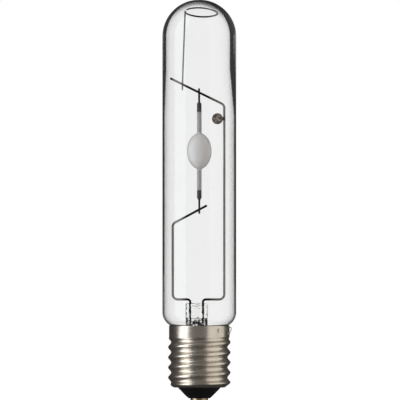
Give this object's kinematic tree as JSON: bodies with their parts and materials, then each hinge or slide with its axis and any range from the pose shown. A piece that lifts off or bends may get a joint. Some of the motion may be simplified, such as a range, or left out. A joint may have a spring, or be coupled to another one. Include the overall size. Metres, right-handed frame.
{
  "type": "metal halide lamp",
  "caption": "Clear tubular discharge lamp with a ceramic arc tube on a wire frame, a getter, a glass stem and a large screw cap with a centre contact.",
  "frame": {"origin": "centre of the bottom contact, at its lowest face", "axes": "+Z along the lamp's axis from the contact to the dome; the flat of the glass stem, the getter and the arms of the wire frame face -Y; the welded side lead is near +X"},
  "size_m": [0.0464, 0.0464, 0.253],
  "materials": {
    "clear_glass": "clear, polished",
    "alumina_ceramic": "translucent, satin",
    "sealing_frit": "dark, fused",
    "refractory_metal": "drawn wire",
    "nickel_wire": "drawn wire",
    "halide_salt": "crusted",
    "getter_powder": "pressed powder, matte",
    "copper_lead": "plain drawn",
    "plated_cap": "warm nickel plate, satin",
    "cement": "matte, baked",
    "black_glass": "opaque, glossy",
    "contact_brass": "plated",
    "solder": "tinned, dull"
  },
  "bodies": {
    "root": {"outer_bulb": "clear_glass", "stem": "clear_glass", "exhaust_tube": "clear_glass", "arc_tube": "alumina_ceramic", "upper_frit_seal": "sealing_frit", "lower_frit_seal": "sealing_frit", "upper_niobium_lead": "refractory_metal", "lower_niobium_lead": "refractory_metal", "upper_electrode": "refractory_metal", "lower_electrode": "refractory_metal", "left_seal_wire": "refractory_metal", "right_seal_wire": "refractory_metal", "halide_dose": "halide_salt", "long_frame_wire": "nickel_wire", "short_frame_wire": "nickel_wire", "dome_spring": "nickel_wire", "getter_tab": "nickel_wire", "getter_cup": "nickel_wire", "getter_pellet": "getter_powder", "centre_lead_wire": "copper_lead", "side_lead_wire": "copper_lead", "screw_shell": "plated_cap", "cap_cement": "cement", "cap_insulator": "black_glass", "centre_contact": "contact_brass", "contact_solder": "solder", "side_weld": "solder"}
  },
  "joints": []
}
